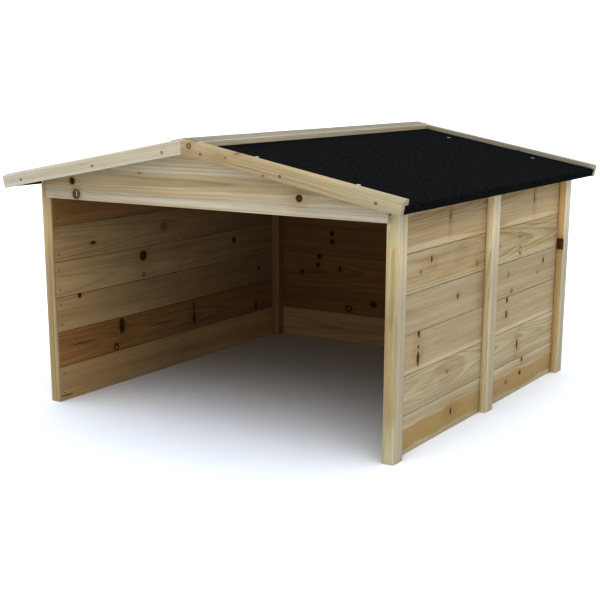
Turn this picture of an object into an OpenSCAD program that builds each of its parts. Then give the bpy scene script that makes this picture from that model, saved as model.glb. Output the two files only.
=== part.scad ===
// Open-fronted garden shelter with a shallow gable roof: boarded side and rear
// panels, felted board roof, rebated barge boards and a ridge cap.
// Millimetres. +Z is up, the open front faces -Y, and the origin is on the
// ground below the centre of the roof outline.

/* [Body] */
// Width over the outer posts
body_w = 775; // [700:5:820]
// Depth over the outer posts
body_d = 800; // [720:5:900]
// Visible height of one wall board
board_h = 70; // [64:1:70]
// Thickness of the wall boards and gable boards
board_t = 8; // [8:0.5:9]
// Shortfall of the front gable board at each end, from the outer face of the wall boards
gable_inset = 2.5; // [0:0.5:6]
// Height of the front opening
opening_h = 407.5; // [400:0.5:415]

/* [Frame] */
// Thickness of the outer posts, across the wall
post_t = 14; // [13:0.5:18]
// Width of the outer posts, along the wall
post_w = 33; // [30:1:40]
// Depth of the corner posts' lip, which covers the ends of the side boards
post_lip = 4; // [3:0.5:6]
// Side of the square corner battens, eaves rails and rafters
batten = 20; // [18:1:22]

/* [Roof] */
// Slope of the roof in degrees
slope = 10.5; // [9:0.5:11]
// Half width of the roof, over the barge boards
roof_half_w = 427; // [415:1:440]
// Height of the barge boards' top edge at the peak
peak_h = 532; // [530:1:536]
// Overhang of the roof in front of the posts
front_over = 62.5; // [50:0.5:80]
// Overhang of the roof behind the posts
rear_over = 42.5; // [36:0.5:60]
// Thickness of the roof boards
deck_t = 9; // [9:0.5:10]
// Thickness of the roofing felt
felt_t = 2; // [1.5:0.5:2.5]
// Depth to which the felt is folded down over the eaves, measured from its top
felt_fold = 15; // [13:0.5:18]

/* [Trim] */
// Height of a barge board, square to the slope
barge_h = 26; // [24:0.5:32]
// Thickness of a barge board's upright leg
barge_leg = 11; // [10:0.5:13]
// Depth of a barge board over its lip
barge_d = 21; // [18:0.5:26]
// Thickness of a barge board's lip
lip_t = 10; // [9:0.5:11]
// Width of one ridge board, down the slope
ridge_w = 30; // [26:1:40]
// Thickness of a ridge board
ridge_t = 11; // [10:0.5:12]

/* [Fixings] */
// Diameter of a wall nail's head
nail_head_d = 4; // [3:0.5:5]
// Diameter of a wall nail's shank
nail_d = 1.8; // [1.4:0.2:2.2]
// Diameter of a felt nail's head
clout_head_d = 8; // [6:0.5:10]
// Diameter of a trim screw's head
screw_head_d = 5; // [4.5:0.5:6]
// Diameter of a trim screw's shank
screw_d = 3; // [2.5:0.5:3.5]

/* [Hidden] */
$fn = 32;

BOARDS = 6;                    // boards in each wall, and in each half of the roof
ease = 0.8;                    // chamfer along the edges of a board
tongue_t = 2.6;                // thickness of a tongue
tongue_l = 4;                  // length of a tongue
joint_play = 0.2;              // clearance on each side of a tongue
joint_depth_play = 0.6;        // clearance at the tip of a tongue

sn = sin(slope);
cs = cos(slope);
tn = tan(slope);

// lengthwise stations
roof_d = front_over + body_d + rear_over;
y_barge_front = -roof_d / 2;
y_barge_rear = roof_d / 2;
y_front = y_barge_front + front_over;
y_rear = y_front + body_d;
y_middle = (y_front + y_rear) / 2;
y_deck_front = y_barge_front + barge_leg;
y_deck_rear = y_barge_rear - barge_leg;
y_back_board = y_rear - board_t;

// widths, right-hand side
x_post = body_w / 2;
x_board_out = x_post - post_t;
x_board_in = x_board_out - board_t;
x_rail = x_board_out - batten;

// heights and offsets below the top plane of the barge boards, square to the slope
wall_h = BOARDS * board_h;
felt_n = lip_t;
deck_n = felt_n + felt_t;
rafter_n = deck_n + deck_t;
roof_u = roof_half_w / cs;
felt_u = roof_u - 2;
deck_u = felt_u - felt_t;
deck_board_w = deck_u / BOARDS;

// fixings
nail_offsets = [15, 55];       // height of the nails above a board's lower edge
nail_inset = 15;               // from a corner post's outer end to its nails
nail_l = 20;
nail_head_t = 0.8;
corner_screw_z = [107, 320];
corner_screw_l = 26;
gable_screw_u = [60, 180, 300];
gable_screw_l = 26;
screw_head_t = 2.5;
barge_screw_u = [45, 207, 388];
barge_screw_n = deck_n + deck_t / 2;
barge_screw_l = 32;
felt_nail_u = [112, 315];
clout_head_t = 0.8;
clout_d = 2.4;
clout_l = 18;
rafter_front_y = y_front;
rafter_rear_y = y_rear - 2 * batten;
rafter_ys = [rafter_front_y, rafter_rear_y];

PALE_PINE = [0.87, 0.77, 0.58];
WARM_PINE = [0.80, 0.64, 0.42];
RED_PINE = [0.66, 0.45, 0.28];
FELT_BLACK = [0.07, 0.07, 0.08];
ZINC = [0.62, 0.62, 0.63];

// a point u down the right-hand slope and n below the top plane, as [x, z]
function roof_point(u, n) = [u * cs - n * sn, peak_h - u * sn - n * cs];
// height of the plane n below the top plane, at a distance x from the middle
function roof_z(x, n) = peak_h - x * tn - n / cs;

// outline of a tongued and grooved board: thickness along X, height along Y
function board_outline(t, h, groove, tongue) =
    let (
        mid = t / 2,
        half_t = tongue_t / 2,
        half_g = tongue_t / 2 + joint_play,
        g_depth = tongue_l + joint_depth_play
    )
    concat(
        [[0, ease], [ease, 0]],
        groove ? [
            [mid - half_g, 0], [mid - half_g, g_depth],
            [mid + half_g, g_depth], [mid + half_g, 0]
        ] : [],
        [[t - ease, 0], [t, ease], [t, h - ease], [t - ease, h]],
        tongue ? [
            [mid + half_t, h], [mid + half_t, h + tongue_l],
            [mid - half_t, h + tongue_l], [mid - half_t, h]
        ] : [],
        [[ease, h], [0, h - ease]]
    );

// extrudes an [x, z] outline along Y
module along_y(y0, y1) {
    translate([0, y1, 0]) rotate([90, 0, 0]) linear_extrude(y1 - y0) children();
}

// extrudes a [y, z] outline along X
module along_x(x0, x1) {
    translate([x0, 0, 0]) rotate([90, 0, 90]) linear_extrude(x1 - x0) children();
}

// turns a right-hand piece into a left-hand one
module on_side(side) {
    mirror([side == "left" ? 1 : 0, 0, 0]) children();
}

// a nail or screw: its head's outer face at the origin, its shank along +Z
module fixing(head_d, head_t, shank_d, l) {
    cylinder(d = head_d, h = head_t);
    cylinder(d = shank_d, h = l);
}

// the same fixing pointing along +X, +Y or -Y
module fixing_x(head_d, head_t, shank_d, l) {
    rotate([0, 90, 0]) fixing(head_d, head_t, shank_d, l);
}

module fixing_y(head_d, head_t, shank_d, l, dir = 1) {
    rotate([-90 * dir, 0, 0]) fixing(head_d, head_t, shank_d, l);
}

// nails that hold the right-hand wall boards to the posts, driven from inside
module right_wall_nails() {
    for (i = [0 : BOARDS - 1], dz = nail_offsets)
        for (y = [y_front + nail_inset, y_middle, y_rear - nail_inset])
            translate([x_board_in, y, i * board_h + dz])
                fixing_x(nail_head_d, nail_head_t, nail_d, nail_l);
}

// nails that hold the rear boards to the rear middle post, driven from inside
module rear_wall_nails() {
    for (i = [0 : BOARDS - 1], dz = nail_offsets)
        translate([0, y_back_board, i * board_h + dz])
            fixing_y(nail_head_d, nail_head_t, nail_d, nail_l);
    translate([0, y_back_board, wall_h + nail_offsets[0]])
        fixing_y(nail_head_d, nail_head_t, nail_d, nail_l);
}

// nails that hold the rear boards to the right corner batten, driven from behind
module right_rear_corner_nails() {
    for (i = [0 : BOARDS - 1], dz = nail_offsets)
        translate([x_board_in - batten / 4, y_rear, i * board_h + dz])
            fixing_y(nail_head_d, nail_head_t, nail_d, nail_l, -1);
    translate([x_rail + batten / 2, y_rear, wall_h + batten / 2])
        fixing_y(nail_head_d, nail_head_t, nail_d, nail_l, -1);
}

module right_corner_screws() {
    for (z = corner_screw_z)
        translate([x_board_in - batten / 2, y_back_board - batten, z])
            fixing_y(screw_head_d, screw_head_t, screw_d, corner_screw_l);
}

module right_gable_screws() {
    for (u = gable_screw_u) {
        p = roof_point(u, rafter_n + batten / 2);
        translate([p[0], rafter_front_y + batten, p[1]])
            fixing_y(screw_head_d, screw_head_t, screw_d, gable_screw_l, -1);
    }
}

// screws through the right-hand barge boards into the ends of the roof boards
module right_barge_screws() {
    for (u = barge_screw_u) {
        p = roof_point(u, barge_screw_n);
        translate([p[0], y_barge_front, p[1]])
            fixing_y(screw_head_d, screw_head_t, screw_d, barge_screw_l);
        translate([p[0], y_barge_rear, p[1]])
            fixing_y(screw_head_d, screw_head_t, screw_d, barge_screw_l, -1);
    }
}

// clout nails through the right-hand felt and roof boards into the rafters
module right_felt_nails() {
    for (u = felt_nail_u, y = rafter_ys) {
        p = roof_point(u, felt_n - clout_head_t);
        translate([p[0], y + batten / 2, p[1]])
            rotate([0, 180 + slope, 0])
                fixing(clout_head_d, clout_head_t, clout_d, clout_l);
    }
}

module wall_board(side, i) {
    outline = board_outline(board_t, board_h, i > 0, i < BOARDS - 1);
    on_side(side) difference() {
        along_y(y_front + post_lip, y_rear - post_lip)
            translate([x_board_in, i * board_h]) polygon(outline);
        right_wall_nails();
    }
}

module rear_board(i) {
    outline = board_outline(board_t, board_h, i > 0, i < BOARDS - 1);
    difference() {
        along_x(-x_board_in, x_board_in)
            translate([y_back_board, i * board_h]) polygon(outline);
        rear_wall_nails();
        for (side = ["left", "right"])
            on_side(side) {
                right_rear_corner_nails();
                right_corner_screws();
            }
    }
}

// outer post whose top is cut to the underside of the roof boards. A corner post
// has a lip at lip_y that covers the ends of the side boards; the middle one has none.
module side_post(side, y0, lip_y = undef) {
    on_side(side) difference() {
        union() {
            along_y(y0, y0 + post_w)
                polygon([
                    [x_board_out, 0], [x_post, 0],
                    [x_post, roof_z(x_post, rafter_n)],
                    [x_board_out, roof_z(x_board_out, rafter_n)]
                ]);
            if (!is_undef(lip_y))
                translate([x_board_in, lip_y, 0]) cube([board_t + post_t / 2, post_lip, wall_h]);
        }
        right_wall_nails();
    }
}

module rear_post() {
    half = post_w / 2;
    edge_z = roof_z(half, rafter_n);
    difference() {
        along_y(y_rear, y_rear + post_t)
            polygon([
                [-half, 0], [half, 0], [half, edge_z],
                [0, roof_z(0, rafter_n)], [-half, edge_z]
            ]);
        rear_wall_nails();
    }
}

module corner_batten(side) {
    on_side(side) difference() {
        translate([x_board_in - batten, y_back_board - batten, 0])
            cube([batten, batten, wall_h]);
        right_rear_corner_nails();
        right_corner_screws();
    }
}

// gable board of half width w, from z0 up to the underside of the roof boards
module gable_outline(w, z0) {
    edge_z = roof_z(w, rafter_n);
    polygon([[-w, z0], [w, z0], [w, edge_z], [0, roof_z(0, rafter_n)], [-w, edge_z]]);
}

module front_gable() {
    difference() {
        along_y(y_front - board_t, y_front)
            gable_outline(x_board_out - gable_inset, opening_h);
        for (side = ["left", "right"])
            on_side(side) right_gable_screws();
    }
}

module rear_gable() {
    difference() {
        along_y(y_back_board, y_rear) gable_outline(x_board_out, wall_h);
        rear_wall_nails();
        for (side = ["left", "right"])
            on_side(side) right_rear_corner_nails();
    }
}

// rail on top of a side wall, under the roof boards
module eaves_rail(side) {
    on_side(side) difference() {
        along_y(y_front, y_back_board)
            polygon([
                [x_rail, wall_h], [x_board_out, wall_h],
                [x_board_out, roof_z(x_board_out, rafter_n)],
                [x_rail, roof_z(x_rail, rafter_n)]
            ]);
        right_rear_corner_nails();
    }
}

// rafter from the mitre under the ridge to the eaves rail
module rafter(side, y0) {
    low_n = rafter_n + batten;
    on_side(side) difference() {
        along_y(y0, y0 + batten)
            polygon([
                [0, roof_z(0, rafter_n)], [x_rail, roof_z(x_rail, rafter_n)],
                [x_rail, roof_z(x_rail, low_n)], [0, roof_z(0, low_n)]
            ]);
        right_gable_screws();
        right_felt_nails();
    }
}

// roof board i counted from the ridge; the first is mitred at the ridge
module roof_board(side, i) {
    u0 = i * deck_board_w;
    u1 = u0 + deck_board_w;
    on_side(side) difference() {
        along_y(y_deck_front, y_deck_rear)
            if (i == 0) {
                polygon([
                    [0, roof_z(0, deck_n)], roof_point(u1, deck_n),
                    roof_point(u1, rafter_n), [0, roof_z(0, rafter_n)]
                ]);
            } else {
                polygon([
                    roof_point(u0, deck_n), roof_point(u1, deck_n),
                    roof_point(u1, rafter_n), roof_point(u0, rafter_n)
                ]);
            }
        right_barge_screws();
        right_felt_nails();
    }
}

// felt over one half of the roof, folded down over the eaves
module roof_felt(side) {
    on_side(side) difference() {
        along_y(y_deck_front, y_deck_rear)
            polygon([
                [0, roof_z(0, felt_n)], roof_point(felt_u, felt_n),
                roof_point(felt_u, felt_n + felt_fold), roof_point(deck_u, felt_n + felt_fold),
                roof_point(deck_u, deck_n), [0, roof_z(0, deck_n)]
            ]);
        right_felt_nails();
    }
}

// rebated barge board: an upright leg, and a lip that starts clear of the ridge board
module barge_board(side, end) {
    front = end == "front";
    leg_y = front ? y_barge_front : y_barge_rear - barge_leg;
    lip_y = front ? y_barge_front : y_barge_rear - barge_d;
    on_side(side) difference() {
        union() {
            along_y(leg_y, leg_y + barge_leg)
                polygon([
                    [0, roof_z(0, 0)], roof_point(roof_u, 0),
                    roof_point(roof_u, barge_h), [0, roof_z(0, barge_h)]
                ]);
            along_y(lip_y, lip_y + barge_d)
                polygon([
                    roof_point(ridge_w, 0), roof_point(roof_u, 0),
                    roof_point(roof_u, lip_t), roof_point(ridge_w, lip_t)
                ]);
        }
        right_barge_screws();
    }
}

// one board of the ridge cap, lying on the felt and mitred at the ridge
module ridge_board(side) {
    on_side(side) along_y(y_deck_front, y_deck_rear)
        polygon([
            [0, roof_z(0, felt_n - ridge_t)], roof_point(ridge_w, felt_n - ridge_t),
            roof_point(ridge_w, felt_n), [0, roof_z(0, felt_n)]
        ]);
}

// both sides of the object get the same fixings
module both_sides() {
    children();
    on_side("left") children();
}

module all_wall_nails() {
    both_sides() {
        right_wall_nails();
        right_rear_corner_nails();
    }
    rear_wall_nails();
}

for (i = [0 : BOARDS - 1]) {
    color(i == 1 ? RED_PINE : PALE_PINE) wall_board("left", i);
    color(i < 2 ? WARM_PINE : PALE_PINE) wall_board("right", i);
    color(i == 1 ? RED_PINE : PALE_PINE) rear_board(i);
    color(PALE_PINE) roof_board("left", i);
    color(PALE_PINE) roof_board("right", i);
}
for (side = ["left", "right"]) {
    color(PALE_PINE) side_post(side, y_front, y_front);
    color(PALE_PINE) side_post(side, y_middle - post_w / 2);
    color(PALE_PINE) side_post(side, y_rear - post_w, y_rear - post_lip);
    color(WARM_PINE) corner_batten(side);
    color(WARM_PINE) eaves_rail(side);
    color(WARM_PINE) rafter(side, rafter_front_y);
    color(WARM_PINE) rafter(side, rafter_rear_y);
    color(FELT_BLACK) roof_felt(side);
    color(side == "left" ? PALE_PINE : WARM_PINE) barge_board(side, "front");
    color(PALE_PINE) barge_board(side, "rear");
    color(PALE_PINE) ridge_board(side);
}
color(PALE_PINE) rear_post();  // rear_middle_post
color(PALE_PINE) front_gable();  // front_gable_board
color(PALE_PINE) rear_gable();  // rear_gable_board
color(ZINC) all_wall_nails();  // wall_nails
color(ZINC) both_sides() right_corner_screws();  // corner_screws
color(ZINC) both_sides() right_gable_screws();  // gable_screws
color(ZINC) both_sides() right_barge_screws();  // barge_screws
color(ZINC) both_sides() right_felt_nails();  // felt_nails
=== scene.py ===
import math
import random

import bmesh
import bpy
import numpy as np
from mathutils import Matrix, Vector


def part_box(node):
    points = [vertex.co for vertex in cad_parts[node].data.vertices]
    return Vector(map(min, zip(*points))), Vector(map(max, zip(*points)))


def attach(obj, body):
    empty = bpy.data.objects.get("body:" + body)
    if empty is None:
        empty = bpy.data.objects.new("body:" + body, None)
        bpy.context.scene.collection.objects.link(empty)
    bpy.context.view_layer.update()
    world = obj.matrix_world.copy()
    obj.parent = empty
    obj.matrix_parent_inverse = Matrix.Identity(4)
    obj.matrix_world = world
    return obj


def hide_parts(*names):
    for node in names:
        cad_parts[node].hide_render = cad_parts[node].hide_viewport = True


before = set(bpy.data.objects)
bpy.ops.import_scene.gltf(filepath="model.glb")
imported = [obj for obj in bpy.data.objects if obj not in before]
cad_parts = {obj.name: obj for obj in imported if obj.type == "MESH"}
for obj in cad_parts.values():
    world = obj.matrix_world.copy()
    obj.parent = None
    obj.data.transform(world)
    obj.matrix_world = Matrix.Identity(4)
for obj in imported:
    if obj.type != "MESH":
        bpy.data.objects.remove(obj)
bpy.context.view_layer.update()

MM = 0.001
SCENE = bpy.context.scene
BODY = "root"
X, Y, Z = (1, 0, 0), (0, 1, 0), (0, 0, 1)


# -------- dimensions, from the frame
def box(node):
    """A CAD node's lowest and highest corner, as numpy arrays in metres."""
    lo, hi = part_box(node)
    return np.array(lo), np.array(hi)


BOARDS = 6
SLOPE = math.radians(10.5)
SN, CS, TN = math.sin(SLOPE), math.cos(SLOPE), math.tan(SLOPE)
WALL_LO, WALL_HI = box("right_wall_board_6")
WALL_H = WALL_HI[2]
BOARD_H = WALL_H / BOARDS

# depths below the top plane of the barge boards, square to the slope
FELT_N = 10 * MM
DECK_N = 12 * MM
RAFTER_N = 21 * MM
RAFTER_LOW_N = 41 * MM
FELT_LOW_N = 25 * MM
RIDGE_TOP_N = -1 * MM

# distances down the slope, from the peak
PEAK_Z = box("left_front_barge_board")[1][2]
ROOF_U = box("right_front_barge_board")[1][0] / CS
FELT_U = ROOF_U - 2 * MM
DECK_U = FELT_U - 2 * MM
RIDGE_U = 30 * MM

BARGE_LEG = 11 * MM
BARGE_DEPTH = 21 * MM
BARGE_H = 26 * MM
FELT_T = 2 * MM
TONGUE_HALF = 1.3 * MM
TONGUE_LONG = 4 * MM
GROOVE_HALF = 1.5 * MM
GROOVE_DEEP = 4.6 * MM
JOINT_GAP = 0.25 * MM


def roof_z(x, n):
    """Height of the plane n below the top plane of the roof, at a distance x from the middle."""
    return PEAK_Z - x * TN - n / CS


def slope_axes(side):
    """Unit vectors of one half of the roof: down its slope, and into it from the top."""
    sign = -1 if side == "left" else 1
    return np.array((sign * CS, 0, -SN)), np.array((-sign * SN, 0, -CS))


# -------- camera
CAM_PLACE = Vector((1.2764, -2.1040, 0.6429))
CAM_YAW = math.radians(-31.78)
CAM_PITCH = math.radians(-14.51)
CAM_ROLL = math.radians(0.22)
CAM_LENS = 72.06
CAM_SENSOR = 36.0
CAM_SHIFT = (-0.0104, 0.1376)
CAM_CLIP = (0.05, 60.0)


def make_camera():
    level = math.cos(CAM_PITCH)
    forward = Vector((math.sin(CAM_YAW) * level, math.cos(CAM_YAW) * level, math.sin(CAM_PITCH)))
    right = Vector((math.cos(CAM_YAW), -math.sin(CAM_YAW), 0.0))
    up = right.cross(forward)
    rolled_right = right * math.cos(CAM_ROLL) + up * math.sin(CAM_ROLL)
    rolled_up = up * math.cos(CAM_ROLL) - right * math.sin(CAM_ROLL)
    data = bpy.data.cameras.new("camera")
    data.lens = CAM_LENS
    data.sensor_width = CAM_SENSOR
    data.shift_x, data.shift_y = CAM_SHIFT
    data.clip_start, data.clip_end = CAM_CLIP
    cam = bpy.data.objects.new("camera", data)
    rows = Matrix((rolled_right, rolled_up, -forward)).transposed()
    cam.matrix_world = Matrix.Translation(CAM_PLACE) @ rows.to_4x4()
    SCENE.collection.objects.link(cam)
    SCENE.camera = cam


make_camera()


# -------- node helpers
class Net:
    """Short calls that add shader nodes to a tree; a value is a constant or another node's socket."""

    def __init__(self, tree):
        self.tree = tree

    def put(self, socket, value):
        if isinstance(value, bpy.types.NodeSocket):
            self.tree.links.new(value, socket)
        elif value is not None:
            socket.default_value = value

    def add(self, kind, **props):
        node = self.tree.nodes.new(kind)
        for key, value in props.items():
            setattr(node, key, value)
        return node

    def fill(self, node, values):
        """Sets a node's first inputs in order, and gives its first output."""
        for socket, value in zip(node.inputs, values):
            self.put(socket, value)
        return node.outputs[0]

    def math(self, op, *values, clamp=False):
        return self.fill(self.add("ShaderNodeMath", operation=op, use_clamp=clamp), values)

    def plus(self, a, b):
        return self.math("ADD", a, b)

    def minus(self, a, b):
        return self.math("SUBTRACT", a, b)

    def times(self, a, b):
        return self.math("MULTIPLY", a, b)

    def most(self, a, b):
        return self.math("MAXIMUM", a, b)

    def swing(self, x, size):
        """Noise x, from 0 to 1, as a change to either side of nothing."""
        return self.times(self.minus(x, 0.5), size)

    def vec(self, op, a, b):
        return self.fill(self.add("ShaderNodeVectorMath", operation=op), (a, b))

    def split(self, v):
        node = self.add("ShaderNodeSeparateXYZ")
        self.put(node.inputs[0], v)
        return node.outputs

    def join(self, x, y, z):
        return self.fill(self.add("ShaderNodeCombineXYZ"), (x, y, z))

    def attribute(self, name, output):
        return self.add("ShaderNodeAttribute", attribute_name=name).outputs[output]

    def noise(self, v, scale, detail=2.0, rough=0.5):
        """3D noise on v stretched by scale, one number for each axis."""
        node = self.add("ShaderNodeTexNoise")
        self.put(node.inputs["Vector"], self.vec("MULTIPLY", v, scale))
        node.inputs["Scale"].default_value = 1.0
        node.inputs["Detail"].default_value = detail
        node.inputs["Roughness"].default_value = rough
        return node.outputs["Fac"]

    def step(self, x, lo, hi, a=0.0, b=1.0):
        """Smooth step of x, from a at lo to b at hi."""
        node = self.add("ShaderNodeMapRange", interpolation_type="SMOOTHSTEP")
        return self.fill(node, (x, lo, hi, a, b))

    def mix(self, fac, a, b, blend="MIX"):
        node = self.add("ShaderNodeMix", data_type="RGBA", blend_type=blend)
        self.put(node.inputs["Factor"], fac)
        self.put(node.inputs[6], a)
        self.put(node.inputs[7], b)
        return node.outputs[2]

    def call(self, group, **values):
        node = self.add("ShaderNodeGroup", node_tree=group)
        for key, value in values.items():
            self.put(node.inputs[key], value)
        return node.outputs

    def bump(self, bsdf, height, strength, distance):
        node = self.add("ShaderNodeBump")
        node.inputs["Strength"].default_value = strength
        node.inputs["Distance"].default_value = distance
        self.put(node.inputs["Height"], height)
        self.put(bsdf.inputs["Normal"], node.outputs["Normal"])


SOCKETS = {"F": "NodeSocketFloat", "V": "NodeSocketVector", "C": "NodeSocketColor"}


def new_group(name, inputs, outputs):
    """An empty node group as (tree, net, inputs, outputs). inputs and outputs map a kind of socket
    to the names of that kind."""
    tree = bpy.data.node_groups.new(name, "ShaderNodeTree")
    for side, kinds in (("INPUT", inputs), ("OUTPUT", outputs)):
        for kind, names in kinds.items():
            for item in names:
                tree.interface.new_socket(name=item, in_out=side, socket_type=SOCKETS[kind])
    source = tree.nodes.new("NodeGroupInput")
    sink = tree.nodes.new("NodeGroupOutput")
    return tree, Net(tree), source.outputs, sink.inputs


def new_material(name):
    mat = bpy.data.materials.new(name)
    mat.use_nodes = True
    return mat, Net(mat.node_tree), mat.node_tree.nodes["Principled BSDF"]


# -------- wood
# what a knot passes on, and what sets its look
FLOWS = ("Shift", "Core", "Rim", "Pale", "Halo")
LOOKS = ("Power along", "Power across", "Core weight", "Rim weight", "Pale weight", "Halo weight",
         "Bend")
MARKS = {
    "knot": (2.0, 2.0, 0.95, 0.70, 0.0, 0.85, 1.0),
    "ring": (2.0, 2.0, 0.25, 0.60, 0.0, 0.60, 1.0),
    "eyed": (2.0, 2.0, 0.70, 0.35, 0.0, 0.85, 1.0),
    "faint": (2.0, 2.0, 0.30, 0.12, 0.0, 0.50, 1.0),
    "spike": (1.0, 2.0, 0.90, 0.0, 0.0, 0.55, 0.8),
    "split": (2.0, 1.0, 0.80, 0.0, 0.0, 0.15, 0.0),
    "slit": (2.0, 2.0, 0.0, 0.0, 0.90, 0.0, 0.0),
    "stain": (2.0, 2.0, 0.0, 0.0, 0.0, 0.55, 0.0),
    "blush": (2.0, 2.0, 0.0, 0.0, 0.0, 0.34, 0.0),
    "swirl": (2.0, 2.0, 0.0, 0.0, 0.0, 0.22, 1.7),
    # "edge": a painted shadow line, a dark band where shade falls beside a board's end
    "edge": (2.0, 2.0, 0.0, 0.0, 0.0, 1.0, 0.0),
    "sapwood": (2.0, 2.0, 0.0, 0.0, 0.45, 0.0, 0.0),
}
SAP_TINT = (1.0, 0.94, 0.80, 1.0)
FLECK = (0.23, 0.13, 0.06, 1.0)
# the halo colour round knots and stains, and also the colour of the painted shadow line of an "edge" mark
HALO_AND_SHADOW = (0.30, 0.160, 0.055, 1.0)
CORE_DARK = (0.050, 0.024, 0.012, 1.0)
CORE_LIGHT = (0.17, 0.092, 0.045, 1.0)
RIM = (0.060, 0.028, 0.013, 1.0)
BARE = (0.62, 0.55, 0.43, 1.0)


def knot_group():
    """One knot, spike knot or split: how far it bends the grain, and where it shows."""
    inputs = {"V": ("Lane", "Centre", "Size"), "F": LOOKS + FLOWS}
    tree, n, i, o = new_group("knot", inputs, {"F": FLOWS})
    away = n.vec("SUBTRACT", i["Lane"], i["Centre"])
    rel = n.split(n.vec("DIVIDE", away, i["Size"]))
    along, across = n.math("ABSOLUTE", rel[0]), n.math("ABSOLUTE", rel[1])
    # q is 1 on the knot's outline
    q = n.plus(n.math("POWER", along, i["Power along"]), n.math("POWER", across, i["Power across"]))
    q = n.plus(q, n.swing(n.noise(i["Lane"], (260, 260, 260), 3.0), 0.9))
    core = n.times(n.step(q, 0.60, 1.15, 1.0, 0.0), i["Core weight"])
    rim = n.minus(n.step(q, 0.35, 0.75), n.step(q, 0.95, 1.35))
    rim = n.times(rim, i["Rim weight"])
    pale = n.times(n.step(q, 0.50, 1.00, 1.0, 0.0), i["Pale weight"])
    beyond = n.minus(n.math("SQRT", n.most(q, 0.0)), 1.0)
    halo = n.times(n.math("EXPONENT", n.times(n.most(beyond, 0.0), -1.7)), i["Halo weight"])
    # the grain runs round a longer outline, and less so further away
    ring = n.plus(n.math("POWER", n.math("DIVIDE", along, 2.3), 2.0), n.math("POWER", across, 2.0))
    pull = n.math("MINIMUM", n.math("DIVIDE", 1.0, n.most(ring, 0.001)), 1.0)
    fade = n.math("EXPONENT", n.times(ring, -0.03))
    push = n.times(n.times(n.times(pull, fade), n.split(away)[1]), i["Bend"])
    n.put(o["Shift"], n.minus(i["Shift"], push))
    for name, value in (("Core", core), ("Rim", rim), ("Pale", pale), ("Halo", halo)):
        n.put(o[name], n.most(i[name], value))
    return tree


def timber_group():
    """Softwood: growth rings round a pith line, bent by the knots, with fibres, flecks and end grain; the
    marks' halo and End also carry painted shadow.
    """
    inputs = {
        "V": ("Lane",),
        "C": ("Light", "Dark", "Heart"),
        "F": ("Seed", "Pith across", "Pith depth", "Ring", "Taper", "Contrast", "Heart low",
              "Heart high", "End") + FLOWS,
    }
    tree, n, i, o = new_group("timber", inputs, {"C": ("Color",), "F": ("Roughness", "Height")})
    lane = n.split(i["Lane"])
    offset = n.vec("MULTIPLY", n.join(i["Seed"], i["Seed"], i["Seed"]), (3.17, 1.73, 2.31))
    p = n.vec("ADD", i["Lane"], offset)
    # noises, each with its waves in a metre along, across and into the wood
    wide = n.noise(p, (1.6, 9, 9))
    ripple = n.noise(p, (7, 45, 45))
    streak = n.noise(p, (3.2, 240, 240), 3.0, 0.6)
    fibre = n.noise(p, (20, 1300, 1300))
    cloud = n.noise(p, (2.4, 17, 17), 3.0)
    broad = n.noise(p, (1.5, 85, 85))
    # growth rings
    bent = n.plus(n.plus(lane[1], i["Shift"]), n.swing(wide, 0.034))
    bent = n.plus(bent, n.swing(ripple, 0.005))
    da, dd = n.minus(bent, i["Pith across"]), n.minus(lane[2], i["Pith depth"])
    r = n.math("SQRT", n.plus(n.times(da, da), n.times(dd, dd)))
    r = n.plus(r, n.times(lane[0], i["Taper"]))
    t = n.math("DIVIDE", r, i["Ring"])
    t = n.plus(t, n.times(n.noise(n.join(r, i["Seed"], 0.0), (70, 1, 1), 1.0), 2.2))
    year, season = n.math("FLOOR", t), n.math("FRACT", t)
    chance = n.add("ShaderNodeTexWhiteNoise", noise_dimensions="1D")
    n.put(chance.inputs["W"], n.plus(year, i["Seed"]))
    late = n.minus(n.step(season, 0.25, 0.86), n.step(season, 0.90, 1.0))
    late = n.times(late, n.math("MULTIPLY_ADD", chance.outputs["Value"], 0.75, 0.25))
    # from light to dark
    tone = n.plus(n.times(late, i["Contrast"]), n.swing(cloud, 1.1))
    tone = n.plus(n.plus(tone, n.swing(broad, 1.1)), n.swing(streak, 0.8))
    tone = n.math("ADD", tone, 0.28, clamp=True)
    wood = n.mix(tone, i["Light"], i["Dark"])
    sap = n.step(n.noise(p, (1.1, 42, 42)), 0.40, 0.68)
    wood = n.mix(n.times(sap, 0.55), wood, SAP_TINT, "MULTIPLY")
    # heartwood, with a wandering edge
    edge = n.plus(n.plus(lane[1], n.times(i["Shift"], 0.6)), n.swing(n.noise(p, (11, 40, 40), 3.0), 0.022))
    low, high = n.minus(edge, i["Heart low"]), n.minus(edge, i["Heart high"])
    heart = n.times(n.step(low, -0.0015, 0.0015), n.step(high, -0.0012, 0.0012, 1.0, 0.0))
    wood = n.mix(n.times(heart, 0.85), wood, n.mix(n.times(tone, 0.6), i["Heart"], i["Dark"]))
    # flecks, knots and end grain; the halo and End also carry painted shadow lines at board ends
    fleck = n.step(n.noise(p, (26, 460, 460)), 0.66, 0.76)
    wood = n.mix(n.times(fleck, 0.26), wood, FLECK)
    wood = n.mix(n.times(i["Halo"], 0.60), wood, HALO_AND_SHADOW)
    speckle = n.step(n.noise(p, (240, 240, 240)), 0.35, 0.70)
    wood = n.mix(i["Core"], wood, n.mix(speckle, CORE_DARK, CORE_LIGHT))
    wood = n.mix(i["Rim"], wood, RIM)
    wood = n.mix(i["Pale"], wood, BARE)
    shade = n.minus(n.plus(n.swing(fibre, 0.30), 1.0), n.times(i["End"], 0.35))
    n.put(o["Color"], n.mix(1.0, wood, n.join(shade, shade, shade), "MULTIPLY"))
    rough = n.plus(n.swing(streak, 0.30), 0.66)
    n.put(o["Roughness"], n.minus(rough, n.times(late, 0.10)))
    height = n.plus(n.times(streak, 0.55), n.times(fibre, 0.35))
    height = n.plus(height, n.times(late, 0.35))
    n.put(o["Height"], n.minus(height, n.times(i["Core"], 0.6)))
    return tree


KNOT, TIMBER = knot_group(), timber_group()


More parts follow.
